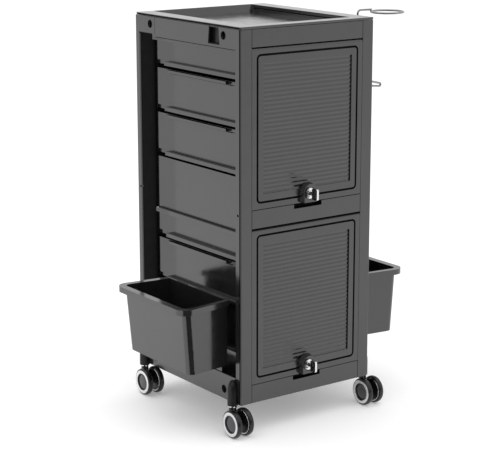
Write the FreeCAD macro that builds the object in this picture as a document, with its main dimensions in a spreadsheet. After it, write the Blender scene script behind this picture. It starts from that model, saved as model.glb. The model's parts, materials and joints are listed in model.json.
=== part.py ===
"""Rolling salon trolley: a cabinet on four twin-wheel casters, with two flip-up doors,
drawers behind them, a bin on each side and a dryer ring.

Every sub-part is drawn in the cabinet's own coordinates: X from the middle plane, Y from
the front face towards the back, Z from the underside of the cabinet. Its Placement then
moves it to the row frame, whose origin is on the floor under the middle of the trolley.
"""
import FreeCAD
import Part
import Sketcher
import math
import os
import re
from FreeCAD import Rotation, Vector

doc = FreeCAD.newDocument("salon_trolley")
sheet = doc.addObject("Spreadsheet::Sheet", "dims")

DIMENSIONS = {
    # cabinet
    "body_width": 336, "body_depth": 378, "body_height": 770, "ground_clearance": 65,
    "key_reach": 34, "wall": 3, "seam": 0.7, "running_gap": 0.4, "past": 1,
    # side frames
    "post_width": 27.2, "post_depth": 17, "door_rebate": 15, "post_lip": 34,
    "back_post_width": 46, "back_post_depth": 7, "back_strip_depth": 12.3, "recess_depth": 44,
    "side_rail_bottom": 723.3, "rail_end_bottom": 728.5, "rail_slope_start": 302,
    "rail_slope_end": 315, "rail_top": 764.4, "rail_seam_place": 304.4, "rail_seam_width": 0.9,
    "rail_seam_depth": 0.8, "rail_rebate_height": 1.5, "rail_rebate_depth": 0.6, "corner_radius": 1.5, "corner_groove_start": 1.5,
    "corner_groove_end": 4.6, "corner_groove_depth": 3, "top_rail_bottom": 728.9,
    "skirt_top": 54, "screw_recess_radius": 8.5, "screw_recess_depth": 9,
    "screw_boss_wall": 2, "screw_head_gap": 1.5, "screw_head_height": 3,
    "post_screw_radius": 2.8, "post_screw_height": 396, "post_screw_inset": 9,
    "post_screw_place": 9.4, "post_screw_sink": 3, "post_head_height": 2, "post_head_gap": 0.2,
    "socket_mid": 90, "socket_low": 729.3, "socket_high": 763.9,
    "socket_half_low": 20, "socket_half_high": 16.5, "socket_depth": 11,
    "cup_wall": 1.5, "cup_sink": 1.5, "plug_gap": 0.3, "plug_head": 2,
    # top tray
    "rim_bottom": 765, "rim_edge_radius": 0.8, "rim_groove_low": 765.8,
    "rim_groove_high": 768.9, "rim_groove_depth": 3, "tray_floor": 754.5, "tray_side_rim": 39,
    "tray_front_rim": 28, "tray_back_rim": 6, "tray_back_foot": 17,
    "tray_groove_low": 761, "tray_groove_high": 763.6, "tray_groove_depth": 2,
    # doors and the rails between them
    "door_thickness": 14, "door_skin": 6.5, "door_edge": 9, "pin_radius": 2, "pin_clearance": 0.05,
    "pin_in_post": 10, "pin_in_door": 9,
    "middle_rail_low": 366, "middle_rail_high": 404, "bottom_rail_high": 39,
    "slot_left": -34, "slot_right": 36.5, "slot_height": 9.5, "slot_depth": 11,
    "groove_side": 11.4, "groove_top": 12.9, "groove_bottom": 11.4, "groove_width": 4.3,
    "groove_depth": 4, "groove_radius": 10, "hollow_top": 16, "hollow_foot": 49,
    "rib_side": 28, "rib_first": 30, "rib_pitch": 8.75, "rib_count": 30,
    "rib_crest": 2.4, "rib_root": 3.4,
    # locks
    "boss_half_base": 20, "boss_half_front": 17, "boss_height": 41, "boss_depth": 12,
    "lock_height": 19.5, "barrel_head_radius": 12, "barrel_radius": 9, "barrel_sink": 1.5,
    "plug_radius": 6, "plug_clearance": 0.05, "cam_front": 15.6, "cam_thickness": 2.6,
    "cam_length": 34, "cam_half_height": 5.5, "key_thickness": 5, "key_height": 24,
    "bow_depth": 17, "blade_thickness": 2, "blade_height": 8, "blade_end": 4,
    # what is behind the doors
    "inner_front": 20, "inner_back": 369, "drawer_front": 22, "drawer_back": 368,
    "drawer_wall": 2.5, "drawer_height": 79, "drawer_flange": 8, "drawer_flange_height": 5.5,
    "flange_start": 101, "flange_end": 321, "flange_drop": 0.5, "flange_shadow_height": 2.6,
    "flange_shadow_depth": 1.5,
    "upper_tub_low": 668, "upper_tub_flange": 711.5, "upper_tub_high": 722, "upper_tub_lip": 13,
    "tub_flange_back": 363,
    "lower_tub_low": 296, "lower_tub_flange": 337.5, "lower_tub_high": 346.5,
    "lower_tub_lip": 9, "divider_low": 347, "divider_floor": 396, "divider_high": 459,
    "base_box_low": 4.5, "base_box_high": 86, "base_plate_thickness": 4,
    "runner_height": 8.4, "runner_outer": 33, "runner_inner": 52, "runner_end": 321.6,
    "runner_tail_outer": 47.5,
    "back_panel_front": 372, "back_panel_back": 376,
    # bins
    "bin_reach": 124.8, "bin_high": 215, "bin_low": 75, "bin_front_outer": 21.5,
    "bin_back_outer": 282.5, "bin_front_inner": 39, "bin_back_inner": 268, "bin_wall": 2.5,
    "bin_rim_height": 12, "bin_rim_radius": 24, "bin_radius": 14,
    "bin_body_reach": 111.8, "bin_body_front_outer": 33.6, "bin_body_back_outer": 269,
    "bin_body_front_inner": 46, "bin_body_back_inner": 256.7, "bin_draft": 10.4,
    "bin_back_draft": 5.5, "bin_gap": 1, "hanger_low": 2, "hanger_high": 5, "hanger_top": 209,
    "hook_length": 40, "hook_front": 70, "hook_back": 200, "hook_drop": 12,
    # casters
    "stem_out": 5, "stem_inset": 22, "socket_radius": 11, "socket_straight": 28,
    "socket_tip": 51, "socket_bottom": -3, "collar_height": 3, "collar_radius": 9.5,
    "stem_radius": 5, "stem_clearance": 0.05, "stem_top": 22, "neck_radius": 8,
    "neck_bottom": -30, "caster_trail": 20, "wheel_radius": 29.5, "wheel_width": 12,
    "wheel_gap": 17, "arm_half": 5, "arm_radius": 9, "axle_radius": 3,
    "wheel_clearance": 0.05, "wheel_cap_radius": 18, "wheel_cap_sink": 2.5,
    # dryer ring and cord hook
    "ring_x": 254, "ring_y": 57, "ring_z": 771, "ring_radius": 34.5, "wire_radius": 2.2,
    "riser_out": 33, "riser_y": 90, "riser_low": 748, "arm_inset": 3, "bend_radius": 7, "hook_bend_radius": 2.6,
    "cord_hook_y": 8.5, "cord_hook_low": 627.5, "cord_hook_high": 638, "cord_hook_out": 29,
    "cord_hook_tip_low": 624.5, "cord_hook_tip_high": 630.5,
}
for row, (alias, value) in enumerate(DIMENSIONS.items(), start=1):
    sheet.set(f"A{row}", alias)
    sheet.set(f"B{row}", str(value))
    sheet.setAlias(f"B{row}", alias)
doc.recompute()

HALF_WIDTH = "body_width / 2"
SIDES = {"left": -1, "right": 1}
DOORS = {
    "upper": ("middle_rail_high", "top_rail_bottom"),
    "lower": ("bottom_rail_high", "middle_rail_low"),
}
DRAWERS = {"upper_drawer_1": 572, "upper_drawer_2": 476, "lower_drawer_1": 200,
           "lower_drawer_2": 104}
subparts = {}


def bind(text):
    """The expression with every alias of the sheet written in full."""
    return re.sub(r"[a-z]\w*", lambda word: "dims." + word.group()
                  if word.group() in DIMENSIONS else word.group(), str(text))


def value(text):
    """The number that an expression on the sheet stands for."""
    return float(sheet.evalExpression(bind(text)))


def side_x(sign, inset):
    """X of a plane that lies inset inside a side face: -1 is the left side, 1 the right."""
    return f"{sign} * ({HALF_WIDTH} - ({inset}))"


def side_span(sign, outer, inner):
    """X range between two planes inside a side face, in rising order."""
    span = (side_x(sign, outer), side_x(sign, inner))
    return span if sign < 0 else span[::-1]


def block(x, y, z):
    """A box; x, y and z are each a pair of expressions, low and high."""
    box = doc.addObject("Part::Box", "Block")
    for size, axis, (low, high) in zip(("Length", "Width", "Height"), "xyz", (x, y, z)):
        box.setExpression(size, bind(f"({high}) - ({low})"))
        box.setExpression(f"Placement.Base.{axis}", bind(low))
    return box


def rod(axis, start, radius, length):
    """A cylinder that starts at a point and runs along an axis."""
    cylinder = doc.addObject("Part::Cylinder", "Rod")
    turns = {"x": Rotation(Vector(0, 1, 0), 90), "y": Rotation(Vector(1, 0, 0), -90),
             "z": Rotation()}
    cylinder.Placement.Rotation = turns[axis]
    cylinder.setExpression("Radius", bind(radius))
    cylinder.setExpression("Height", bind(length))
    for name, place in zip("xyz", start):
        cylinder.setExpression(f"Placement.Base.{name}", bind(place))
    return cylinder


def fused(*shapes):
    fusion = doc.addObject("Part::MultiFuse", "Fusion")
    fusion.Shapes = list(shapes)
    fusion.Refine = True
    return fusion


def grouped(*shapes):
    group = doc.addObject("Part::Compound", "Group")
    group.Links = list(shapes)
    return group


def without(base, *tools):
    cut = doc.addObject("Part::Cut", "Cut")
    cut.Base = base
    cut.Tool = tools[0] if len(tools) == 1 else grouped(*tools)
    cut.Refine = True
    return cut


def rounded(base, radius, chosen):
    """A fillet on the edges for which chosen(edge) is true."""
    doc.recompute()
    fillet = doc.addObject("Part::Fillet", "Fillet")
    fillet.Base = base
    size = value(radius)
    fillet.Edges = [(number, size, size) for number, edge in enumerate(base.Shape.Edges, 1)
                    if chosen(edge)]
    return fillet


def mirrored(source):
    """The same piece on the other side of the middle plane."""
    mirror = doc.addObject("Part::Mirroring", "Mirror")
    mirror.Source = source
    mirror.Normal = Vector(1, 0, 0)
    return mirror


def along(axis):
    """Picks the straight edges that run along an axis."""
    def chosen(edge):
        ends = edge.Vertexes
        if len(ends) != 2:
            return False
        run = ends[1].Point - ends[0].Point
        return run.Length > 0 and abs(run.dot(axis)) > 0.999 * run.Length
    return chosen


def profile_sketch(body, points):
    """A closed outline in the body's XZ plane, each corner (r, z) bound to the sheet."""
    sketch = body.newObject("Sketcher::SketchObject", "Outline")
    plane = [item for item in body.Origin.OriginFeatures if item.Role == "XZ_Plane"][0]
    sketch.AttachmentSupport = [(plane, "")]
    sketch.MapMode = "FlatFace"
    places = [Vector(value(r), value(z), 0) for r, z in points]
    for start, end in zip(places, places[1:] + places[:1]):
        sketch.addGeometry(Part.LineSegment(start, end), False)
    for number in range(len(points)):
        sketch.addConstraint(Sketcher.Constraint(
            "Coincident", (number - 1) % len(points), 2, number, 1))
    for number, (r, z) in enumerate(points):
        for kind, size in (("DistanceX", r), ("DistanceY", z)):
            index = sketch.addConstraint(Sketcher.Constraint(
                kind, -1, 1, number, 1, value(size)))
            sketch.setExpression(f"Constraints[{index}]", bind(size))
    return sketch


def turned(points):
    """A body of revolution about Z from an outline of (r, z) corners."""
    body = doc.addObject("PartDesign::Body", "Turned")
    sketch = profile_sketch(body, points)
    revolution = body.newObject("PartDesign::Revolution", "Revolution")
    revolution.Profile = sketch
    revolution.ReferenceAxis = (sketch, ["V_Axis"])
    revolution.Angle = 360
    body.Tip = revolution
    return body


def placed(body, x, y, z, rotation=Rotation()):
    """Sets a body at a point of the cabinet's coordinates."""
    body.Placement.Rotation = rotation
    for axis, place in zip("xyz", (x, y, z)):
        body.setExpression(f"Placement.Base.{axis}", bind(place))
    return body


def tapered(low, high, z_low, z_high):
    """A loft between two four-cornered outlines, each a list of (x, y) expressions."""
    sections = []
    for corners, z in ((low, z_low), (high, z_high)):
        places = [Vector(value(x), value(y), 0) for x, y in corners]
        sketch = doc.addObject("Sketcher::SketchObject", "Section")
        for number, (start, end) in enumerate(zip(places, places[1:] + places[:1])):
            sketch.addGeometry(Part.LineSegment(start, end), False)
        for number, (x, y) in enumerate(corners):
            sketch.addConstraint(Sketcher.Constraint("Coincident", (number - 1) % 4, 2, number, 1))
            for kind, size in (("DistanceX", x), ("DistanceY", y)):
                index = sketch.addConstraint(Sketcher.Constraint(
                    kind, -1, 1, number, 1, value(size)))
                sketch.setExpression(f"Constraints[{index}]", bind(size))
        sketch.setExpression("Placement.Base.z", bind(z))
        sections.append(sketch)
    loft = doc.addObject("Part::Loft", "Loft")
    loft.Sections = sections
    loft.Solid = True
    loft.Ruled = True
    return loft


def prism(corners, run):
    """A solid swept from a flat outline of (x, y, z) corners along a vector."""
    places = [Vector(*[value(number) for number in corner]) for corner in corners]
    solid = doc.addObject("Part::Feature", "Prism")
    solid.Shape = Part.Face(Part.makePolygon(places + places[:1])).extrude(run)
    return solid


def bent_wire(points, bend):
    """A round wire along straight runs joined by arcs of one bend radius."""
    places = [Vector(*[value(number) for number in point]) for point in points]
    bend = value(bend)
    edges = []
    start = places[0]
    for before, corner, after in zip(places, places[1:], places[2:]):
        back = (before - corner).normalize()
        ahead = (after - corner).normalize()
        half_turn = back.getAngle(ahead) / 2
        reach = bend / math.tan(half_turn)
        enter = corner + back * reach
        leave = corner + ahead * reach
        middle = corner + (back + ahead).normalize() * (bend / math.sin(half_turn) - bend)
        edges += [Part.LineSegment(start, enter).toShape(), Part.Arc(enter, middle, leave).toShape()]
        start = leave
    edges.append(Part.LineSegment(start, places[-1]).toShape())
    path = Part.Wire(edges)
    section = Part.Wire(Part.makeCircle(value("wire_radius"), places[0], places[1] - places[0]))
    wire = doc.addObject("Part::Feature", "Wire")
    wire.Shape = path.makePipeShell([section], True, True)
    return wire


def finish(label, shape_object):
    """Names a finished sub-part and sets it on the floor of the row frame."""
    shape_object.Label = label
    base = shape_object.Placement.Base
    bound = dict(shape_object.ExpressionEngine)
    for axis, shift in (("y", "-(body_depth - key_reach) / 2"), ("z", "ground_clearance")):
        own = bound.get(f".Placement.Base.{axis}") or bound.get(f"Placement.Base.{axis}")
        start = own if own else str(getattr(base, axis))
        shape_object.setExpression(f"Placement.Base.{axis}", f"({start}) + " + bind(shift))
    subparts[label] = shape_object
    return shape_object


def side_frame():
    """Left side frame: front and back post, top rail and skirt, moulded in one."""
    def across(outer, inner):
        return side_span(-1, outer, inner)

    post = rounded(block(across(0, "post_width"), (0, "post_depth"), (0, "rail_top")),
                   "corner_radius", lambda edge: along(Vector(0, 0, 1))(edge)
                   and edge.BoundBox.YMax < 1
                   and edge.BoundBox.XMax < value(side_x(-1, "post_width / 2")))
    lip = block(across("post_width", "post_lip"), ("door_rebate", "post_depth"), (0, "rail_top"))
    back_post = block(across(0, "back_post_width"), ("body_depth - back_post_depth", "body_depth"),
                      (0, "rail_top"))
    back_strip = block(across(0, "wall"), ("body_depth - back_strip_depth", "body_depth"),
                       (0, "rail_top"))
    face = side_x(-1, 0)
    rail = prism([(face, "post_depth / 2", "rail_top"), (face, "post_depth / 2", "side_rail_bottom"),
                  (face, "rail_slope_start", "side_rail_bottom"),
                  (face, "rail_slope_end", "rail_end_bottom"),
                  (face, "body_depth", "rail_end_bottom"), (face, "body_depth", "rail_top")],
                 Vector(value("wall"), 0, 0))
    rail_floor = block(across("wall / 2", "recess_depth"), ("post_depth", "rail_slope_start"),
                       ("side_rail_bottom", "side_rail_bottom + wall"))
    rail_end_floor = block(across("wall / 2", "recess_depth"),
                           ("rail_slope_start - wall", "body_depth - back_post_depth"),
                           ("rail_end_bottom", "rail_end_bottom + wall"))
    rail_step = block(across("wall / 2", "recess_depth"),
                      ("rail_slope_start - wall", "rail_slope_start"),
                      ("side_rail_bottom", "rail_end_bottom + wall"))
    skirt = block(across(0, "wall"), ("post_depth / 2", "body_depth"), (0, "skirt_top"))
    skirt_shelf = block(across("wall / 2", "recess_depth"),
                        ("post_depth", "body_depth - back_post_depth"),
                        ("skirt_top - wall", "skirt_top"))
    solids = [post, lip, back_post, back_strip, rail, rail_floor, rail_end_floor, rail_step,
              skirt, skirt_shelf]
    outside = side_x(-1, "-past")
    holes = [block(side_span(-1, "-past", "corner_groove_depth"),
                   ("corner_groove_start", "corner_groove_end"), ("-past", "rail_top + past")),
             block(side_span(-1, "-past", "rail_seam_depth"),
                   ("rail_seam_place", "rail_seam_place + rail_seam_width"),
                   ("rail_end_bottom", "rail_top + past")),
             block(side_span(-1, "-past", "rail_rebate_depth"), ("post_depth", "rail_slope_start"),
                   ("side_rail_bottom - past", "side_rail_bottom + rail_rebate_height")),
             block(side_span(-1, "-past", "rail_rebate_depth"),
                   ("rail_slope_end", "body_depth - back_strip_depth"),
                   ("rail_end_bottom - past", "rail_end_bottom + rail_rebate_height"))]
    for y, z in SCREW_RECESSES:
        solids.append(rod("x", (face, y, z), "screw_recess_radius + screw_boss_wall",
                          "screw_recess_depth + screw_boss_wall"))
        holes.append(rod("x", (outside, y, z), "screw_recess_radius",
                         "screw_recess_depth + past"))
    for y in POST_SCREWS:
        holes.append(rod("x", (outside, y, "post_screw_height"), "post_screw_radius",
                         "post_screw_inset - 2 * past"))
    for z in HINGE_HEIGHTS:
        holes.append(rod("x", (side_x(-1, "post_width - pin_in_post"), "door_thickness / 2", z),
                         "pin_radius", "pin_in_post + past"))
    holes.append(holder_socket_block(-1, 0, "past"))
    for y in STEM_PLACES:
        holes.append(placed(turned(socket_outline()), side_x(-1, "-stem_out"), y, 0))
    return without(fused(*solids), *holes)


def holder_socket_block(sign, margin, past):
    """The wedge-shaped space of a holder socket in the top rail, less a margin all round."""
    foot, top = f"socket_low + ({margin})", f"socket_high - ({margin})"
    outer = side_x(sign, f"-({past})")
    depth = value(side_x(sign, f"socket_depth - ({margin})")) - value(outer)
    corners = [(outer, f"socket_mid - socket_half_low + ({margin})", foot),
               (outer, f"socket_mid + socket_half_low - ({margin})", foot),
               (outer, f"socket_mid + socket_half_high - ({margin})", top),
               (outer, f"socket_mid - socket_half_high + ({margin})", top)]
    return prism(corners, Vector(depth, 0, 0))


def socket_outline():
    """Outline of a caster's bullet-shaped stem socket, without its hole."""
    rise = "(socket_tip - socket_straight)"
    ogive = [(f"socket_radius * {math.cos(math.radians(turn)):.4f}",
              f"socket_straight + {rise} * {math.sin(math.radians(turn)):.4f}")
             for turn in range(0, 90, 15)]
    return [("0", "socket_bottom"), ("socket_radius", "socket_bottom")] + ogive + [
        ("0", "socket_tip")]


def plain_rail(z_low, z_high, slotted):
    """A front rail between the stiles, with a finger slot in its top edge if slotted."""
    half = f"({HALF_WIDTH} - post_width - seam)"
    rail = block((f"-{half}", half), (0, "door_rebate"), (z_low, z_high))
    if not slotted:
        return rail
    slot = block(("slot_left", "slot_right"), ("-past", "slot_depth"),
                 (f"{z_high} - slot_height", f"{z_high} + past"))
    return without(rail, slot)


def tray():
    """Top tray: a rim that caps the cabinet, and a sunken floor with a groove in its sides."""
    plate = block((f"-{HALF_WIDTH}", HALF_WIDTH), (0, "body_depth"), ("rim_bottom", "body_height"))
    plate = rounded(plate, "corner_radius", along(Vector(0, 0, 1)))
    plate = rounded(plate, "rim_edge_radius",
                    lambda edge: edge.BoundBox.ZMin > value("rim_bottom + past"))
    half = f"({HALF_WIDTH} - tray_side_rim)"
    well = block((f"-({half} + wall)", f"{half} + wall"),
                 ("tray_front_rim - wall", "body_depth - tray_back_rim - wall"),
                 ("tray_floor - wall", "rim_bottom"))
    hollow = block((f"-{half}", half), ("tray_front_rim", "body_depth - tray_back_foot"),
                   ("tray_floor", "body_height + past"))
    slope = prism([(f"-{half}", f"body_depth - ({back})", z) for back, z in (
        ("tray_back_foot", "tray_floor"), ("tray_back_rim", "body_height + past"),
        ("tray_back_foot + past", "body_height + past"), ("tray_back_foot + past", "tray_floor"))],
        Vector(value(f"2 * {half}"), 0, 0))
    grooves = []
    for sign in SIDES.values():
        grooves.append(block(side_span(sign, "tray_side_rim - tray_groove_depth",
                                       "tray_side_rim + past"),
                             ("tray_front_rim", "body_depth - tray_back_foot"),
                             ("tray_groove_low", "tray_groove_high")))
        grooves.append(block(side_span(sign, "-past", "rim_groove_depth"),
                             ("corner_groove_start", "body_depth + past"),
                             ("rim_groove_low", "rim_groove_high")))
    return without(fused(plate, well), hollow, slope, *grooves)


def hinge_height(z_high):
    """Height of a door's hinge line, at the middle of its rounded top edge."""
    return f"{z_high} - seam - door_thickness / 2"


def door(z_low, z_high):
    """A flip-up door: a panel rounded along its hinge edge, hollow behind, with a
    ring groove and a field of fine ribs on its face."""
    half = f"({HALF_WIDTH} - post_width - seam)"
    low = f"{z_low} + seam"
    high = f"{z_high} - seam"
    panel = block((f"-{half}", half), (0, "door_thickness"), (low, high))
    panel = rounded(panel, "door_thickness / 2 - 0.05", lambda edge: along(Vector(1, 0, 0))(edge)
                    and edge.BoundBox.ZMin > value(high) - 1)
    hollow = block((f"-({half} - door_edge)", f"{half} - door_edge"),
                   ("door_skin", "door_thickness + past"),
                   (f"{low} + hollow_foot", f"{high} - hollow_top"))
    ring_x = f"({half} - groove_side)"
    ring = rounded(block((f"-{ring_x}", ring_x), ("-past", "groove_depth"),
                         (f"{low} + groove_bottom", f"{high} - groove_top")),
                   "groove_radius", along(Vector(0, 1, 0)))
    field = rounded(block((f"-({ring_x} - groove_width)", f"{ring_x} - groove_width"),
                          ("-2 * past", "groove_depth + past"),
                          (f"{low} + groove_bottom + groove_width",
                           f"{high} - groove_top - groove_width")),
                    "groove_radius - groove_width", along(Vector(0, 1, 0)))
    cuts = [hollow, without(ring, field), lock_bore(f"{low} + lock_height", 0, "barrel_radius")]
    cuts.append(rib_field(f"{half} - rib_side", f"{low} + rib_first"))
    for sign in SIDES.values():
        start = side_x(sign, "post_width + seam + pin_in_door") if sign > 0 else (
            side_x(sign, "post_width + seam - past"))
        cuts.append(rod("x", (start, "door_thickness / 2", hinge_height(z_high)),
                        "pin_radius + pin_clearance", "pin_in_door + past"))
    return without(panel, *cuts)


def rib_field(half, start):
    """The space in front of a door's corrugated field, which swells in and out like a wave."""
    pitch, crest, root = value("rib_pitch"), value("rib_crest"), value("rib_root")
    left, foot, front = -value(half), value(start), value("-past")
    steps = [crest, (crest + root) / 2, root, (crest + root) / 2]
    count = int(value("rib_count")) * len(steps)
    wave = [Vector(left, steps[number % len(steps)], foot + number * pitch / len(steps))
            for number in range(count + 1)]
    curve = Part.BSplineCurve()
    curve.interpolate(wave)
    frame = Part.makePolygon([wave[-1], Vector(left, front, wave[-1].z), Vector(left, front, foot),
                              wave[0]])
    space = doc.addObject("Part::Feature", "RibField")
    space.Shape = Part.Face(Part.Wire([curve.toShape()] + frame.Edges)).extrude(
        Vector(-2 * left, 0, 0))
    return space


def lock_bore(height, start, radius):
    """A hole right through a door at a lock's height."""
    return rod("y", (0, f"{start} - 30", height), radius, "60")


def lock_boss(z_low):
    """The arched plastic boss that a lock sits in, tapering from the door's face."""
    low = f"{z_low} + seam"
    shapes = []
    for half, y in (("boss_half_base", 0), ("boss_half_front", "-boss_depth")):
        width, rise = value(half), value(f"boss_height - (boss_half_base - {half})")
        foot, depth = value(f"{low} + 1"), value(y)
        shoulder = foot + rise - width
        arc = Part.Arc(Vector(width, depth, shoulder), Vector(0, depth, shoulder + width),
                       Vector(-width, depth, shoulder)).toShape()
        sides = Part.makePolygon([Vector(-width, depth, shoulder), Vector(-width, depth, foot),
                                  Vector(width, depth, foot), Vector(width, depth, shoulder)])
        shapes.append(Part.Wire([arc] + sides.Edges))
    boss = doc.addObject("Part::Feature", "Boss")
    boss.Shape = Part.makeLoft(shapes, True, True)
    height = f"{low} + lock_height"
    sink = rod("y", (0, "-boss_depth - 1", height), "barrel_head_radius + 0.3",
               "barrel_sink + 4")
    return without(boss, lock_bore(height, 0, "barrel_radius"), sink)


def turned_forward(points, height):
    """A turned piece whose axis points out of the door at a lock's height."""
    return placed(turned(points), 0, 0, height, Rotation(Vector(1, 0, 0), 90))


def lock_pieces(name, z_low):
    """Barrel, plug, key and cam of one door lock, unlocked, with the key upright."""
    height = f"{z_low} + seam + lock_height"
    face = "(boss_depth - barrel_sink)"
    barrel = turned_forward([
        ("plug_radius + plug_clearance", f"{face}"), ("barrel_head_radius - 1", face),
        ("barrel_head_radius", f"{face} - 1"), ("barrel_head_radius", f"{face} - 2.8"),
        ("barrel_radius", f"{face} - 2.8"), ("barrel_radius", "-door_thickness - 0.8"),
        ("plug_radius + plug_clearance", "-door_thickness - 0.8")], height)
    finish(f"{name}_lock_barrel", barrel)
    plug = turned_forward([
        ("0", f"{face} + 0.6"), ("plug_radius - 0.6", f"{face} + 0.6"),
        ("plug_radius", face), ("plug_radius", "-cam_front"),
        ("3", "-cam_front"), ("3", "-cam_front - cam_thickness"),
        ("0", "-cam_front - cam_thickness")], height)
    blade_x = ("-blade_thickness / 2", "blade_thickness / 2")
    slot = block(blade_x, ("-boss_depth - 20", "blade_end"),
                 (f"{height} - blade_height / 2", f"{height} + blade_height / 2"))
    finish(f"{name}_lock_plug", without(plug, slot))
    blade = block(blade_x, ("-key_reach + bow_depth - 1", "blade_end"),
                  (f"{height} - blade_height / 2", f"{height} + blade_height / 2"))
    bow = block(("-key_thickness / 2", "key_thickness / 2"), ("-key_reach", "-key_reach + bow_depth"),
                (f"{height} - key_height / 2", f"{height} + key_height / 2"))
    bow = rounded(bow, "key_thickness - 1", along(Vector(1, 0, 0)))
    finish(f"{name}_key", fused(bow, blade))
    cam_y = ("cam_front", "cam_front + cam_thickness")
    cam = block(("-cam_half_height", "cam_length"), cam_y,
                (f"{height} - cam_half_height", f"{height} + cam_half_height"))
    cam = rounded(cam, "cam_half_height - 0.5", along(Vector(0, 1, 0)))
    finish(f"{name}_lock_cam", without(cam, rod("y", (0, "cam_front - 1", height), "3", "8")))


def tub(z_low, z_high, flange_low, flange_out):
    """A fixed open tub with a flange along both sides that hangs it in the frame."""
    half = f"({HALF_WIDTH} - recess_depth)"
    outer = block((f"-{half}", half), ("inner_front", "inner_back"), (z_low, z_high))
    flange = block((f"-({half} + {flange_out})", f"{half} + {flange_out}"),
                   ("inner_front", "tub_flange_back"), (flange_low, z_high))
    hollow = block((f"-({half} - drawer_wall)", f"{half} - drawer_wall"),
                   ("inner_front + drawer_wall", "inner_back - drawer_wall"),
                   (f"{z_low} + drawer_wall", f"{z_high} + past"))
    return without(fused(outer, flange), hollow)


def divider():
    """The fixed box between the two compartments: open above and below its floor."""
    half = f"({HALF_WIDTH} - recess_depth)"
    walls = block((f"-{half}", half), ("inner_front", "inner_back"), ("divider_low", "divider_high"))
    inside_x = (f"-({half} - drawer_wall)", f"{half} - drawer_wall")
    inside_y = ("inner_front + drawer_wall", "inner_back - drawer_wall")
    above = block(inside_x, inside_y, ("divider_floor", "divider_high + past"))
    below = block(inside_x, inside_y, ("divider_low - past", "divider_floor - drawer_wall"))
    return without(walls, above, below)


def drawer(z_low):
    """An open drawer with a flange along the top of each side wall."""
    half = f"({HALF_WIDTH} - recess_depth)"
    top = f"{z_low} + drawer_height"
    outer = block((f"-{half}", half), ("drawer_front", "drawer_back"), (z_low, top))
    flange_top = f"{top} - flange_drop"
    flange_foot = f"{flange_top} - drawer_flange_height"
    flange = block((f"-({half} + drawer_flange)", f"{half} + drawer_flange"),
                   ("flange_start", "flange_end"), (flange_foot, flange_top))
    shadows = [prism([(f"{sign} * {half}", "drawer_front + drawer_wall",
                       f"{flange_foot} - flange_shadow_height"),
                      (f"{sign} * {half}", "drawer_front + drawer_wall", flange_foot),
                      (f"{sign} * ({half} - flange_shadow_depth)", "drawer_front + drawer_wall",
                       flange_foot)],
                     Vector(0, value("flange_end - drawer_front - drawer_wall"), 0))
               for sign in SIDES.values()]
    hollow = block((f"-({half} - drawer_wall)", f"{half} - drawer_wall"),
                   ("drawer_front + drawer_wall", "drawer_back - drawer_wall"),
                   (f"{z_low} + drawer_wall", f"{top} + past"))
    return without(fused(outer, flange), hollow, *shadows)


def runners():
    """The ledges that carry the drawers and tubs, a pair under each, with thin tails that
    reach the back panel."""
    ledges = []
    tops = [f"{low} - running_gap" for low in DRAWERS.values()]
    tops += ["upper_tub_low", "lower_tub_low"]
    for sign in SIDES.values():
        for top in tops:
            heights = (f"{top} - runner_height", top)
            ledge = block(side_span(sign, "runner_outer", "runner_inner"),
                          ("post_depth", "runner_end"), heights)
            tail = block(side_span(sign, "runner_tail_outer", "runner_inner"),
                         ("runner_end - past", "back_panel_front"), heights)
            ledges.append(fused(ledge, tail))
    return grouped(*ledges)


def bin_outline(part, grow, draft):
    """The four corners of a left bin's rim or body in plan, grown outwards by grow; a
    draft of 1 gives the foot of the body and 0 its top."""
    reach = f"(bin_{part}reach + ({grow}) - {draft} * bin_draft)"
    back = f"({grow}) - {draft} * bin_back_draft"
    return [(side_x(-1, "-bin_gap"), f"bin_{part}front_inner - ({grow})"),
            (side_x(-1, "-bin_gap"), f"bin_{part}back_inner + {back}"),
            (side_x(-1, f"-{reach}"), f"bin_{part}back_outer + {back}"),
            (side_x(-1, f"-{reach}"), f"bin_{part}front_outer - ({grow})")]


def side_bin():
    """A left side bin: drafted walls, a flanged rim, and two hooks on its inner wall."""
    def outer_corner(edge):
        ends = [vertex.Point for vertex in edge.Vertexes]
        upright = abs(ends[0].z - ends[1].z) > value("bin_wall")
        return upright and max(end.x for end in ends) < value(side_x(-1, "-bin_reach / 2"))

    shell = rounded(tapered(bin_outline("body_", 0, 1), bin_outline("body_", 0, 0),
                            "bin_low", "bin_high"), "bin_radius", outer_corner)
    rim_flat = bin_outline("", 0, 0)
    rim = rounded(tapered(rim_flat, rim_flat, "bin_high - bin_rim_height", "bin_high"),
                  "bin_rim_radius", outer_corner)
    under_flat = bin_outline("", "-bin_wall", 0)
    under = rounded(tapered(under_flat, under_flat, "bin_high - bin_rim_height - past",
                            "bin_high - bin_wall"), "bin_rim_radius - bin_wall", outer_corner)
    inside_low, inside_high = [
        [(f"{x} - bin_wall", y) if number < 2 else (x, y)
         for number, (x, y) in enumerate(bin_outline("body_", "-bin_wall", draft))]
        for draft in (1, 0)]
    inside = tapered(inside_low, inside_high, "bin_low + bin_wall", "bin_high + past")
    inside = rounded(inside, "bin_radius - bin_wall", outer_corner)
    hooks = []
    inner = "hanger_high + running_gap"
    for y in ("hook_front", "hook_back"):
        span_y = (y, f"{y} + hook_length")
        hooks.append(block(side_span(-1, "-bin_gap - past", f"{inner} + bin_wall"), span_y,
                           ("hanger_top + running_gap", "hanger_top + running_gap + bin_wall")))
        hooks.append(block(side_span(-1, inner, f"{inner} + bin_wall"),
                           span_y, ("hanger_top - hook_drop", "hanger_top + past")))
    body = fused(without(rim, under), shell)
    return fused(without(body, inside), *hooks)


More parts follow.
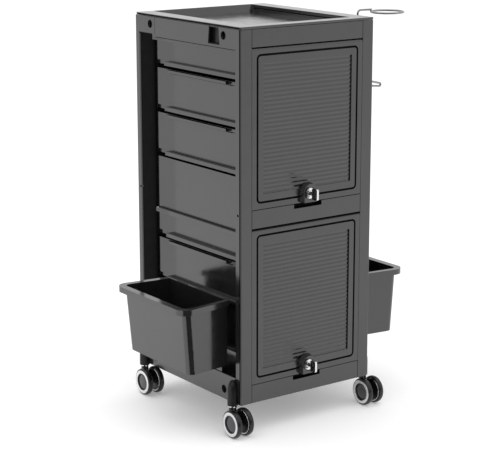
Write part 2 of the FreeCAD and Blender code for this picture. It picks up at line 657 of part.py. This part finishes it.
def hangers():
    """The plates on the skirts that the bins hook over, two on each side."""
    plates = [block(side_span(sign, "hanger_low", "hanger_high"), (y, f"{y} + hook_length"),
                    ("skirt_top", "hanger_top"))
              for sign in SIDES.values() for y in ("hook_front", "hook_back")]
    return grouped(*plates)


def wheel_outline():
    """Half section of a wheel: tread rounded at both edges, and a sunken outer cap."""
    radius, half = "wheel_radius", "wheel_width / 2"
    return [("axle_radius + wheel_clearance", f"-({half})"), (f"{radius} - 4", f"-({half})"),
            (f"{radius} - 1.2", f"-({half}) + 1.2"), (radius, f"-({half}) + 4"),
            (radius, f"{half} - 4"), (f"{radius} - 1.2", f"{half} - 1.2"),
            (f"{radius} - 4", half), ("wheel_cap_radius", half),
            ("wheel_cap_radius - 0.8", f"{half} - wheel_cap_sink"),
            ("axle_radius + wheel_clearance", f"{half} - wheel_cap_sink")]


def caster(name, sign, stem_y):
    """Swivel body, axle and two wheels of one caster, trailing towards the front."""
    stem_x = side_x(sign, "-stem_out")
    axle_y = f"{stem_y} - caster_trail"
    axle_z = "wheel_radius - ground_clearance"
    stem = turned([("0", "neck_bottom"), ("neck_radius", "neck_bottom"),
                   ("neck_radius", "socket_bottom - collar_height - 0.6"),
                   ("stem_radius", "socket_bottom - collar_height - 0.6"),
                   ("stem_radius", "stem_top"), ("0", "stem_top")])
    placed(stem, stem_x, stem_y, 0)
    arm_x = (f"{stem_x} - arm_half", f"{stem_x} + arm_half")
    arm = block(arm_x, (axle_y, f"{stem_y} + 5"), ("neck_bottom - 10", "neck_bottom + 2"))
    hub = rod("x", (arm_x[0], axle_y, axle_z), "arm_radius", "2 * arm_half")
    bore = rod("x", (f"{stem_x} - 20", axle_y, axle_z), "axle_radius", "40")
    finish(f"caster_body_{name}", without(fused(stem, arm, hub), bore))
    reach = "(wheel_gap / 2 + wheel_width - wheel_cap_sink - 0.5)"
    finish(f"axle_{name}", rod("x", (f"{stem_x} - {reach}", axle_y, axle_z), "axle_radius",
                               f"2 * {reach}"))
    for side, turn in (("left", -1), ("right", 1)):
        wheel = placed(turned(wheel_outline()),
                       f"{stem_x} + {turn} * (wheel_gap + wheel_width) / 2", axle_y, axle_z,
                       Rotation(Vector(0, 1, 0), 90 * turn))
        finish(f"wheel_{name}_{side}", wheel)


def caster_sockets():
    """The four bullet-shaped sockets, each bored for a caster's stem."""
    sockets = []
    for sign in SIDES.values():
        for y in STEM_PLACES:
            bullet = placed(turned(socket_outline()), side_x(sign, "-stem_out"), y, 0)
            bore = rod("z", (side_x(sign, "-stem_out"), y, "socket_bottom - 1"),
                       "stem_radius + stem_clearance", "stem_top - socket_bottom + 2")
            sockets.append(without(bullet, bore))
    return grouped(*sockets)


def collars():
    """The bright collars under the sockets."""
    rings = [placed(turned([("stem_radius + 0.2", "socket_bottom - collar_height"),
                            ("collar_radius", "socket_bottom - collar_height"),
                            ("collar_radius", "socket_bottom"),
                            ("stem_radius + 0.2", "socket_bottom")]),
                    side_x(sign, "-stem_out"), y, 0)
             for sign in SIDES.values() for y in STEM_PLACES]
    return grouped(*rings)


def screws():
    """Screws at the bottom of the side recesses and in the posts, one group."""
    heads = []
    for sign in SIDES.values():
        for y, z in SCREW_RECESSES:
            outer = "screw_recess_depth - screw_head_height" if sign < 0 else "screw_recess_depth"
            heads.append(rod("x", (side_x(sign, outer), y, z),
                             "screw_recess_radius - screw_head_gap", "screw_head_height"))
        for y in POST_SCREWS:
            foot = "post_screw_inset - post_screw_sink"
            outer = f"{foot} - post_head_height" if sign < 0 else foot
            heads.append(rod("x", (side_x(sign, outer), y, "post_screw_height"),
                             "post_screw_radius - post_head_gap", "post_head_height"))
    return grouped(*heads)


def hinge_pins():
    """The four pins that the doors turn on, held in the posts."""
    pins = []
    for sign in SIDES.values():
        inset = "post_width - pin_in_post" if sign < 0 else "post_width + seam + pin_in_door - 1"
        pins += [rod("x", (side_x(sign, inset), "door_thickness / 2", z), "pin_radius",
                     "pin_in_post + seam + pin_in_door - 1") for z in HINGE_HEIGHTS]
    return grouped(*pins)


def holder_sockets():
    """The two wedge-shaped cups in the top rails."""
    cups = [without(holder_socket_block(sign, 0, "-cup_sink"),
                    holder_socket_block(sign, "cup_wall", "past"))
            for sign in SIDES.values()]
    return grouped(*cups)


def dryer_ring():
    """The ring for a hair dryer and the wire arm that carries it."""
    riser_x = side_x(1, "-riser_out")
    arm_z = "ring_z + 2 * wire_radius - 0.6"
    arm = bent_wire([(side_x(1, "arm_inset"), "riser_y", "riser_low"),
                     (riser_x, "riser_y", "riser_low"), (riser_x, "riser_y", arm_z),
                     ("ring_x - ring_radius * 0.55", "ring_y + ring_radius * 0.83", arm_z)],
                    "bend_radius")
    ring = doc.addObject("Part::Torus", "Ring")
    ring.setExpression("Radius1", bind("ring_radius"))
    ring.setExpression("Radius2", bind("wire_radius"))
    for axis, place in zip("xyz", ("ring_x", "ring_y", "ring_z")):
        ring.setExpression(f"Placement.Base.{axis}", bind(place))
    return fused(ring, arm)


def dryer_ring_plug():
    """The wedge that pushes into the right-hand socket and grips the wire."""
    wedge = holder_socket_block(1, "cup_wall + plug_gap", "plug_head")
    bore = rod("x", (side_x(1, "arm_inset"), "riser_y", "riser_low"), "wire_radius", "riser_out")
    return without(wedge, bore)


def cord_hook():
    """The small wire staple on the right front post."""
    near, far = side_x(1, "wall"), side_x(1, "-cord_hook_out")
    staple = bent_wire([(near, "cord_hook_y", "cord_hook_low"),
                        (far, "cord_hook_y", "cord_hook_tip_low"),
                        (far, "cord_hook_y", "cord_hook_tip_high"),
                        (near, "cord_hook_y", "cord_hook_high")], "hook_bend_radius")
    post = block(side_span(1, 0, "post_width"), (0, "post_depth"),
                 ("cord_hook_low - post_depth", "cord_hook_high + post_depth"))
    return without(staple, post)


SCREW_RECESSES = [("322.8", "749.4"), ("57.6", "749.4"), ("59", "20.9"), ("319", "20.9")]
POST_SCREWS = ("post_screw_place", "body_depth - post_screw_place")
STEM_PLACES = ("stem_inset", "body_depth - stem_inset")
HINGE_HEIGHTS = [hinge_height(top) for low, top in DOORS.values()]


def build():
    left = finish("side_frame_left", side_frame())
    right = mirrored(left)
    right.Label = "side_frame_right"
    subparts["side_frame_right"] = right
    finish("top_tray", tray())
    finish("top_rail", plain_rail("top_rail_bottom", "rail_top", False))
    finish("middle_rail", plain_rail("middle_rail_low", "middle_rail_high", True))
    finish("bottom_rail", plain_rail(0, "bottom_rail_high", True))
    for name, (z_low, z_high) in DOORS.items():
        finish(f"{name}_door", door(z_low, z_high))
        finish(f"{name}_lock_boss", lock_boss(z_low))
        lock_pieces(name, z_low)
    finish("hinge_pins", hinge_pins())
    finish("upper_tub", tub("upper_tub_low", "upper_tub_high", "upper_tub_flange", "upper_tub_lip"))
    finish("lower_tub", tub("lower_tub_low", "lower_tub_high", "lower_tub_flange", "lower_tub_lip"))
    finish("divider_box", divider())
    half = f"({HALF_WIDTH} - recess_depth)"
    finish("base_box", without(
        block((f"-{half}", half), ("inner_front", "inner_back"), ("base_box_low", "base_box_high")),
        block((f"-({half} - drawer_wall)", f"{half} - drawer_wall"),
              ("inner_front + drawer_wall", "inner_back - drawer_wall"),
              ("base_box_low + drawer_wall", "base_box_high + past"))))
    finish("base_plate", block((f"-({HALF_WIDTH} - wall - 12)", f"{HALF_WIDTH} - wall - 12"),
                               ("inner_front", "inner_back"), (0, "base_plate_thickness")))
    back_half = f"({HALF_WIDTH} - back_post_width)"
    finish("back_panel", block((f"-{back_half}", back_half), ("back_panel_front", "back_panel_back"),
                               (0, "rail_top")))
    for name, low in DRAWERS.items():
        finish(name, drawer(low))
    finish("drawer_runners", runners())
    left_bin = finish("side_bin_left", side_bin())
    right_bin = mirrored(left_bin)
    right_bin.Label = "side_bin_right"
    subparts["side_bin_right"] = right_bin
    finish("bin_hangers", hangers())
    finish("caster_sockets", caster_sockets())
    finish("caster_collars", collars())
    for side, sign in SIDES.items():
        for end, y in zip(("front", "back"), STEM_PLACES):
            caster(f"{end}_{side}", sign, y)
    finish("side_screws", screws())
    finish("holder_sockets", holder_sockets())
    finish("dryer_ring", dryer_ring())
    finish("dryer_ring_plug", dryer_ring_plug())
    finish("cord_hook", cord_hook())


def export():
    """Checks every object and writes each sub-part to its own file."""
    doc.recompute()
    for item in doc.Objects:
        if "Invalid" in item.State or "Error" in item.State:
            raise RuntimeError(f"{item.Label} failed: {item.State}")
    os.makedirs("parts", exist_ok=True)
    for label, item in subparts.items():
        shape = item.Shape
        if shape.isNull() or not shape.isValid() or not shape.Solids:
            raise RuntimeError(f"{label} has no valid shape")
        shape.exportStep(f"parts/{label}.step")
    print(len(subparts), "sub-parts written")


build()
export()
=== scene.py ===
"""Looks of the rolling salon trolley: charcoal and black moulded plastic, chrome trim,
rounded edges on every moulding, and a soft white studio."""
import json
import math

import bmesh
import bpy
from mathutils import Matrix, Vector


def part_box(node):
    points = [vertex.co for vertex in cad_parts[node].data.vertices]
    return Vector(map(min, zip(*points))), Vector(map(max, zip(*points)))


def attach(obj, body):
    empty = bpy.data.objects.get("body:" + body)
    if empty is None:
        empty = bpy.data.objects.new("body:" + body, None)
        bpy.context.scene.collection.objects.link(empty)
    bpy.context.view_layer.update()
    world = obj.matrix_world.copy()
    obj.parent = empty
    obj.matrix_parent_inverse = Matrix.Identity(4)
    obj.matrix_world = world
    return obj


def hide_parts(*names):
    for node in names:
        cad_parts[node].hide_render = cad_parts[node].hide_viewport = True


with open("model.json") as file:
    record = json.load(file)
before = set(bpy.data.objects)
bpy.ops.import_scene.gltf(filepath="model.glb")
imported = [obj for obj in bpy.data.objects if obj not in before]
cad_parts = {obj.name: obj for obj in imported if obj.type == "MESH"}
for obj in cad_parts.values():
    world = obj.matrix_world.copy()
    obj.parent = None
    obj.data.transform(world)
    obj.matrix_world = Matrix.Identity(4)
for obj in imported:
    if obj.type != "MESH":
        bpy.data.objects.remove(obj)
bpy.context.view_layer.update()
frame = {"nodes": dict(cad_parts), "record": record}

MM = 0.001
SHARP_ANGLE = math.radians(28)
TURNED_SHARP_ANGLE = math.radians(35)
TURNED_STEPS = 72

CABINET_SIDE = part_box("top_tray")[1].x
CABINET_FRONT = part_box("top_tray")[0].y
CABINET_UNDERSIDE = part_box("bottom_rail")[0].z


def in_cabinet(point):
    """A point in millimetres of the cabinet's own frame: X from the middle plane, Y from
    the front face, Z from the underside."""
    x, y, z = point
    return x / MM, (y - CABINET_FRONT) / MM, (z - CABINET_UNDERSIDE) / MM


# Materials

def new_material(name):
    """A new material, its node tree and its Principled shader."""
    material = bpy.data.materials.new(name)
    material.use_nodes = True
    tree = material.node_tree
    return material, tree, tree.nodes["Principled BSDF"]


def object_noise(tree, scale, detail):
    """Noise in object space, the same at every pose."""
    place = tree.nodes.new("ShaderNodeTexCoord")
    noise = tree.nodes.new("ShaderNodeTexNoise")
    noise.inputs["Scale"].default_value = scale
    noise.inputs["Detail"].default_value = detail
    noise.inputs["Roughness"].default_value = 0.55
    tree.links.new(place.outputs["Object"], noise.inputs["Vector"])
    return noise.outputs["Fac"]


def spread_out(tree, noise, low, high):
    """Maps the middle part of a noise's range to a range between two numbers."""
    span = tree.nodes.new("ShaderNodeMapRange")
    span.inputs["From Min"].default_value = 0.35
    span.inputs["From Max"].default_value = 0.65
    span.inputs["To Min"].default_value = low
    span.inputs["To Max"].default_value = high
    tree.links.new(noise, span.inputs["Value"])
    return span.outputs["Result"]


def colour_between(tree, noise, low, high):
    """A colour that wanders between two greys with a noise."""
    mix = tree.nodes.new("ShaderNodeMix")
    mix.data_type = "RGBA"
    mix.inputs["A"].default_value = (*low, 1)
    mix.inputs["B"].default_value = (*high, 1)
    tree.links.new(spread_out(tree, noise, 0, 1), mix.inputs["Factor"])
    return mix.outputs["Result"]


def bump(tree, shader, noise, strength, distance):
    """Fine relief; distance is its height in metres."""
    node = tree.nodes.new("ShaderNodeBump")
    node.inputs["Strength"].default_value = strength
    node.inputs["Distance"].default_value = distance
    tree.links.new(noise, node.inputs["Height"])
    tree.links.new(node.outputs["Normal"], shader.inputs["Normal"])


def moulded(name, grey, spread, rough, grain, depth, specular):
    """Injection-moulded plastic: slow colour drift, uneven gloss and a fine spark grain."""
    material, tree, shader = new_material(name)
    low = tuple(channel * (1 - spread) for channel in grey)
    high = tuple(channel * (1 + spread) for channel in grey)
    drift = object_noise(tree, 9, 3)
    tree.links.new(colour_between(tree, drift, low, high), shader.inputs["Base Color"])
    gloss = object_noise(tree, 55, 5)
    tree.links.new(spread_out(tree, gloss, *rough), shader.inputs["Roughness"])
    bump(tree, shader, object_noise(tree, grain, 2), 0.25, depth)
    shader.inputs["Specular IOR Level"].default_value = specular
    shader.inputs["IOR"].default_value = 1.5
    return material


def bright_metal(name, grey, rough, depth):
    """Plated or plain metal with faint handling marks."""
    material, tree, shader = new_material(name)
    low = tuple(channel * 0.93 for channel in grey)
    marks = object_noise(tree, 140, 4)
    tree.links.new(colour_between(tree, marks, low, grey), shader.inputs["Base Color"])
    tree.links.new(spread_out(tree, marks, *rough), shader.inputs["Roughness"])
    bump(tree, shader, object_noise(tree, 420, 3), 0.15, depth)
    shader.inputs["Metallic"].default_value = 1.0
    return material


CHARCOAL = moulded("charcoal_moulding", (0.012, 0.012, 0.0122), spread=0.12,
                   rough=(0.13, 0.19), grain=900, depth=0.000004, specular=0.95)
BLACK = moulded("black_moulding", (0.008, 0.008, 0.0082), spread=0.15,
                rough=(0.12, 0.20), grain=700, depth=0.000004, specular=0.6)
TYRE = moulded("wheel_tread", (0.006, 0.006, 0.0062), spread=0.15,
               rough=(0.20, 0.32), grain=500, depth=0.00001, specular=0.45)
CAP = moulded("wheel_cap", (0.012, 0.012, 0.0122), spread=0.10,
              rough=(0.16, 0.24), grain=800, depth=0.000004, specular=0.95)
# Painted reflection: the wire's chrome is darker than the plate, standing in for the dark
# reflections along the thin wires.
WIRE = bright_metal("chrome_wire", (0.30, 0.30, 0.31), rough=(0.10, 0.18), depth=0.000002)
CHROME = bright_metal("chrome_plate", (0.78, 0.78, 0.80), rough=(0.06, 0.12), depth=0.000002)
STEEL = bright_metal("plain_steel", (0.48, 0.48, 0.50), rough=(0.28, 0.42), depth=0.00002)
CUP = moulded("cup_moulding", (0.004, 0.004, 0.004), spread=0.2,
              rough=(0.3, 0.4), grain=700, depth=0.000004, specular=0.3)
# Matt black painted shade: grooves, seams, finger slots and the rear posts' fronts are painted
# with it in place of the shade that falls there.
SHADOW = moulded("groove_shadow", (0.0022, 0.0022, 0.0022), spread=0.2,
                 rough=(0.5, 0.65), grain=900, depth=0.000002, specular=0.12)


# Pieces

def add_piece(name, mesh, material, body):
    """Links a mesh as a piece that rides on a CAD body, in the material given."""
    mesh.materials.clear()
    mesh.materials.append(material)
    piece = bpy.data.objects.new(name, mesh)
    bpy.context.scene.collection.objects.link(piece)
    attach(piece, body)
    return piece


def body_of(node):
    for body, members in frame["record"]["behaviour"]["bodies"].items():
        if node in members:
            return body


def smooth_mesh(shape, name, sharp_angle):
    """A mesh from a bmesh, which is freed, shaded smooth between its sharp edges."""
    mesh = bpy.data.meshes.new(name)
    shape.to_mesh(mesh)
    shape.free()
    for polygon in mesh.polygons:
        polygon.use_smooth = True
    mesh.set_sharp_from_angle(angle=sharp_angle)
    return mesh


def whole_faces(node):
    """A copy of a CAD node's mesh with its triangles joined back into whole faces."""
    shape = bmesh.new()
    shape.from_mesh(frame["nodes"][node].data)
    bmesh.ops.remove_doubles(shape, verts=shape.verts, dist=0.002 * MM)
    bmesh.ops.dissolve_limit(shape, angle_limit=math.radians(0.8), verts=shape.verts,
                             edges=shape.edges, use_dissolve_boundaries=False)
    return smooth_mesh(shape, node, SHARP_ANGLE)


def softened(mesh, width, segments):
    """The mesh with its sharp edges rounded and its flat faces kept flat in shading."""
    work = bpy.data.objects.new("softening", mesh)
    bpy.context.scene.collection.objects.link(work)
    edges = work.modifiers.new("edges", "BEVEL")
    edges.width = width * MM
    edges.segments = segments
    edges.limit_method = "ANGLE"
    edges.angle_limit = SHARP_ANGLE
    edges.use_clamp_overlap = True
    edges.miter_outer = "MITER_ARC"
    flat = work.modifiers.new("flat_faces", "WEIGHTED_NORMAL")
    flat.weight = 100
    flat.keep_sharp = False
    result = bpy.data.meshes.new_from_object(
        work.evaluated_get(bpy.context.evaluated_depsgraph_get()))
    bpy.data.objects.remove(work)
    return result


def dress(node, material, width, segments=2):
    """A finished moulding in place of a CAD node: the same shape, with its edges rounded
    over a width in millimetres."""
    piece = add_piece(f"{node}_finished", softened(whole_faces(node), width, segments),
                      material, body_of(node))
    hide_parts(node)
    return piece


def paint_shade_faces(piece, inside):
    """Paints shade matt black on the faces of a groove, slot, seam or rear post's front, where
    shade falls: inside(x, y, z) tells which corners lie in it, in the cabinet's own frame."""
    piece.data.materials.append(SHADOW)
    in_painted_shade = [inside(*in_cabinet(corner.co)) for corner in piece.data.vertices]
    for face in piece.data.polygons:
        if all(in_painted_shade[corner] for corner in face.vertices):
            face.material_index = 1


# Painted shade lines, in millimetres of the cabinet's own frame: the faces in these spans are
# painted matt black where shade falls. Spans are a little wider than the grooves themselves,
# and leave out the rounded outer edges.

HALF_WIDTH = CABINET_SIDE / MM
DOOR_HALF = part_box("upper_door")[1].x / MM
EDGE = 0.05
CORNER_GROOVE = (1.3, 4.8)
RIM_GROOVE = (765.6, 769.1)
OUTER_GROOVE_DEPTH = 3.1
TRAY_GROOVE = (760.9, 763.7)
TRAY_WELL = (20, 368)
TRAY_SIDE_RIM = 39.5
RAIL_SEAM = (304.2, 305.5)
RAIL_SEAM_DEPTH = 0.9
RAIL_REBATE = (722, 731)
RAIL_REBATE_DEPTH = (0.4, 0.8)
POST_INNER_FACE = (27.05, 27.35)
DOOR_REBATE = (0.5, 15.1)
REAR_POST_FRONT = (365, 371.8)
REAR_POST_WIDTH = (0.7, 46.5)
FINGER_SLOT = (-34.2, 36.7)
FINGER_SLOT_DEPTH = (0.2, 11.2)
SEAM_EDGE = 0.75
SEAM_START = 0.5
RING_GROOVE_DEPTH = (0.3, 4.2)
RING_GROOVE_SIDE = 11
RING_GROOVE_FOOT = 11.1
RING_GROOVE_HEAD = 12.6
RING_GROOVE_BAND = 8


def between(value, span):
    return span[0] < value < span[1]


def frame_shadow(x, y, z):
    """Painted shade on the corner groove, rail seam, post face beside the doors, rear post's
    front and rebate over the side recess."""
    inset = HALF_WIDTH - abs(x)
    return (between(y, CORNER_GROOVE) and between(inset, (EDGE, OUTER_GROOVE_DEPTH))
            or between(y, RAIL_SEAM) and between(inset, (EDGE, RAIL_SEAM_DEPTH))
            or between(y, DOOR_REBATE) and between(inset, POST_INNER_FACE)
            or between(y, REAR_POST_FRONT) and between(inset, REAR_POST_WIDTH)
            or between(z, RAIL_REBATE) and between(inset, RAIL_REBATE_DEPTH))


def tray_shadow(x, y, z):
    """Painted shade in the groove under the outer rim and the groove around the well."""
    inset = HALF_WIDTH - abs(x)
    return (between(z, RIM_GROOVE) and between(inset, (EDGE, OUTER_GROOVE_DEPTH))
            or between(z, TRAY_GROOVE) and between(y, TRAY_WELL) and inset < TRAY_SIDE_RIM)


def seam_end(x, y):
    """The end of a door or rail, beside the post."""
    return abs(x) > DOOR_HALF - 0.1 and y > SEAM_START


def rail_shadow(rail):
    """Painted shade on a rail's finger slot, top edge under the door and ends."""
    top = in_cabinet(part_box(rail)[1])[2]

    def inside(x, y, z):
        return (between(x, FINGER_SLOT) and between(y, FINGER_SLOT_DEPTH)
                or z > top - SEAM_EDGE or seam_end(x, y))
    return inside


def door_shadow(door):
    """Painted shade on a door's ring groove around the ribs, bottom edge and ends."""
    foot, head = (in_cabinet(corner)[2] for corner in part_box(door))

    def inside(x, y, z):
        in_from_edge = min(DOOR_HALF - abs(x) - RING_GROOVE_SIDE, z - foot - RING_GROOVE_FOOT,
                           head - z - RING_GROOVE_HEAD)
        return (between(y, RING_GROOVE_DEPTH) and between(in_from_edge, (0, RING_GROOVE_BAND))
                or z < foot + SEAM_EDGE or seam_end(x, y))
    return inside


# Parts of the trolley

def finish_cabinet():
    # Shade is painted matt black into the frames' grooves, seams and rear post fronts, the tray's
    # grooves and the rails' slots and seams.
    for side in ("left", "right"):
        paint_shade_faces(dress(f"side_frame_{side}", CHARCOAL, 0.8), frame_shadow)
    paint_shade_faces(dress("top_tray", CHARCOAL, 0.6), tray_shadow)
    dress("top_rail", CHARCOAL, 0.7)
    for rail in ("middle_rail", "bottom_rail"):
        paint_shade_faces(dress(rail, CHARCOAL, 0.7), rail_shadow(rail))
    for box in ("upper_tub", "divider_box", "lower_tub", "base_box", "back_panel", "base_plate",
                "drawer_runners", "bin_hangers"):
        dress(box, CHARCOAL, 0.5)
    dress("caster_sockets", CUP, 0.4)
    dress("holder_sockets", CUP, 0.4)
    dress("caster_collars", CHROME, 0.4)
    dress("side_screws", BLACK, 0.4)
    dress("hinge_pins", STEEL, 0.3)
    dress("cord_hook", WIRE, 0.2)


def finish_doors():
    for level in ("upper", "lower"):
        # Shade is painted matt black into each door's ring groove, bottom edge and ends.
        paint_shade_faces(dress(f"{level}_door", CHARCOAL, 0.7), door_shadow(f"{level}_door"))
        dress(f"{level}_lock_boss", CHARCOAL, 1, segments=3)
        dress(f"{level}_lock_barrel", CHROME, 0.3)
        dress(f"{level}_lock_plug", CHROME, 0.2)
        dress(f"{level}_key", CHROME, 0.4)
        dress(f"{level}_lock_cam", STEEL, 0.3)


def finish_drawers():
    for drawer in ("upper_drawer_1", "upper_drawer_2", "lower_drawer_1", "lower_drawer_2"):
        dress(drawer, CHARCOAL, 0.6)


def finish_bins():
    for side in ("left", "right"):
        dress(f"side_bin_{side}", CHARCOAL, 0.8)


def finish_ring():
    dress("dryer_ring", WIRE, 0.1)
    dress("dryer_ring_plug", BLACK, 0.6)


OUTER_TRIM = [(19.0, 5.0), (19.0, 6.1), (19.4, 6.5), (20.2, 6.7), (24.2, 6.7), (25.0, 6.5),
              (25.4, 6.1), (25.4, 5.0)]
INNER_TRIM = [(23.0, 5.0), (23.0, 6.2), (23.4, 6.5), (24.8, 6.5), (25.2, 6.2), (25.2, 5.0)]
WHEEL_CAP = [(0, 5.1), (5, 5.05), (10, 4.8), (13.4, 4.35), (15.2, 3.9), (15.9, 3.3), (15.9, 3.0),
             (0, 3.0)]


def turned_piece(name, profile, centre, outward, material, body):
    """A ring or disc turned about the X axis from a closed (radius, height) outline in
    millimetres; outward is the side that its face looks to."""
    shape = bmesh.new()
    rows = []
    for step in range(TURNED_STEPS):
        turn = 2 * math.pi * step / TURNED_STEPS
        rows.append([shape.verts.new((centre[0] + outward * height * MM,
                                      centre[1] + radius * MM * math.cos(turn),
                                      centre[2] + radius * MM * math.sin(turn)))
                     for radius, height in profile])
    for step, row in enumerate(rows):
        after = rows[(step + 1) % TURNED_STEPS]
        for place in range(len(profile)):
            ahead = (place + 1) % len(profile)
            on_axis = profile[place][0] == 0 and profile[ahead][0] == 0
            if not on_axis:
                shape.faces.new((row[place], row[ahead], after[ahead], after[place]))
    bmesh.ops.remove_doubles(shape, verts=shape.verts, dist=0.001 * MM)
    bmesh.ops.recalc_face_normals(shape, faces=shape.faces)
    return add_piece(name, smooth_mesh(shape, name, TURNED_SHARP_ANGLE), material, body)


def trim_wheel(joint):
    """Chrome rings on both faces of a wheel and a domed cap in its outer recess."""
    wheel = joint["child"]
    outward = 1 if wheel.endswith("_right") else -1
    centre = joint["pos_m"]
    turned_piece(f"{wheel}_outer_trim", OUTER_TRIM, centre, outward, CHROME, wheel)
    turned_piece(f"{wheel}_inner_trim", INNER_TRIM, centre, -outward, CHROME, wheel)
    turned_piece(f"{wheel}_cap", WHEEL_CAP, centre, outward, CAP, wheel)


def finish_casters():
    for end in ("front", "back"):
        for side in ("left", "right"):
            dress(f"caster_body_{end}_{side}", BLACK, 0.6)
            dress(f"axle_{end}_{side}", STEEL, 0.3)
            for wheel in ("left", "right"):
                dress(f"wheel_{end}_{side}_{wheel}", TYRE, 0.5)
    for joint in frame["record"]["behaviour"]["joints"]:
        if joint["name"].endswith("_spin"):
            trim_wheel(joint)


# Stage, in metres and degrees

FLOOR_REACH = 14
FLOOR_GLOW = 0.20
FLAG_START = 213
FLAG_END = 300
FLAG_STEPS = 24
FLAG_CENTRE = (-0.29, -0.14)
RECESS_CARD_SPAN = (0.0006, 0.043)
RECESS_CARD_PLACE = 0.3648
RECESS_CARD_HEIGHTS = (0.056, 0.7265)
AIM = (0, 0, 0.4)
CAMERA_FROM_CORNER = (-1.8081, -2.5109, 1.1063)
CAMERA_YAW = 36.103
CAMERA_PITCH = 13.544
CAMERA_LENS = 115.4


def area_light(name, place, size, power):
    """A rectangular light that looks at the middle of the trolley."""
    light = bpy.data.lights.new(name, "AREA")
    light.shape = "RECTANGLE"
    light.size, light.size_y = size
    light.energy = power
    lamp = bpy.data.objects.new(name, light)
    lamp.location = place
    lamp.rotation_euler = (Vector(AIM) - Vector(place)).to_track_quat("-Z", "Y").to_euler()
    bpy.context.scene.collection.objects.link(lamp)


def stage_card(name, verts, faces, colour, glow, rough=1.0, specular=0.0):
    """A matt card of the studio, with light of its own where it glows."""
    mesh = bpy.data.meshes.new(name)
    mesh.from_pydata(verts, [], faces)
    card = bpy.data.objects.new(name, mesh)
    bpy.context.scene.collection.objects.link(card)
    paper, _, shader = new_material(name)
    shader.inputs["Base Color"].default_value = (colour, colour, colour, 1)
    shader.inputs["Roughness"].default_value = rough
    shader.inputs["Specular IOR Level"].default_value = specular
    shader.inputs["Emission Color"].default_value = (1, 1, 1, 1)
    shader.inputs["Emission Strength"].default_value = glow
    mesh.materials.append(paper)
    return card


def only_in_reflections(card):
    card.visible_camera = False
    card.visible_shadow = False
    card.visible_diffuse = False


def reflection_flag(name, reach, heights):
    """A black card on the side the picture is taken from: a fan on the floor, or a curved
    wall. Rounded corners mirror it as a dark line."""
    verts, faces = [], []
    for step in range(FLAG_STEPS + 1):
        turn = math.radians(FLAG_START + (FLAG_END - FLAG_START) * step / FLAG_STEPS)
        for radius, height in zip(reach, heights):
            verts.append((FLAG_CENTRE[0] + radius * math.cos(turn),
                          FLAG_CENTRE[1] + radius * math.sin(turn), height))
        if step:
            faces.append((2 * step - 2, 2 * step - 1, 2 * step + 1, 2 * step))
    only_in_reflections(stage_card(name, verts, faces, colour=0.03, glow=0))


def recess_card(side, sign):
    """A white card in front of a rear post, so that the drawer walls stay light up to
    their far end."""
    outer, inner = (sign * (CABINET_SIDE - inset) for inset in RECESS_CARD_SPAN)
    place = CABINET_FRONT + RECESS_CARD_PLACE
    low, high = (CABINET_UNDERSIDE + height for height in RECESS_CARD_HEIGHTS)
    verts = [(outer, place, low), (inner, place, low), (inner, place, high), (outer, place, high)]
    only_in_reflections(stage_card(f"recess_card_{side}", verts, [(0, 1, 2, 3)], colour=0, glow=1))


def build_studio():
    corners = [(-FLOOR_REACH, -FLOOR_REACH, 0), (FLOOR_REACH, -FLOOR_REACH, 0),
               (FLOOR_REACH, FLOOR_REACH, 0), (-FLOOR_REACH, FLOOR_REACH, 0)]
    stage_card("floor", corners, [(0, 1, 2, 3)], colour=0.9, glow=FLOOR_GLOW, rough=0.9,
               specular=0.1)
    world = bpy.data.worlds.new("studio")
    world.use_nodes = True
    background = world.node_tree.nodes["Background"]
    background.inputs["Color"].default_value = (1, 1, 1, 1)
    background.inputs["Strength"].default_value = 1.0
    bpy.context.scene.world = world
    area_light("overhead", (-0.3, -0.2, 3.2), (3.5, 3.5), 22)
    area_light("left_fill", (-3.2, 0.2, 1.6), (2.0, 2.5), 6)
    recess_card("left", -1)
    recess_card("right", 1)
    reflection_flag("floor_flag", (0.2, 7.0), (0.004, 0.004))
    reflection_flag("standing_flag", (7.0, 7.0), (0.004, 2.6))


def place_camera():
    """The viewer's camera, placed from the cabinet's front left bottom corner."""
    camera = bpy.data.cameras.new("camera")
    camera.lens = CAMERA_LENS
    camera.sensor_width = 36
    camera.sensor_fit = "HORIZONTAL"
    camera.clip_end = 60
    viewer = bpy.data.objects.new("camera", camera)
    corner = Vector((-CABINET_SIDE, CABINET_FRONT, CABINET_UNDERSIDE))
    viewer.location = corner + Vector(CAMERA_FROM_CORNER)
    viewer.rotation_euler = (math.radians(90 - CAMERA_PITCH), 0, math.radians(-CAMERA_YAW))
    bpy.context.scene.collection.objects.link(viewer)
    bpy.context.scene.camera = viewer
    bpy.context.scene.view_settings.view_transform = "Standard"


finish_cabinet()
finish_doors()
finish_drawers()
finish_bins()
finish_ring()
finish_casters()
build_studio()
place_camera()
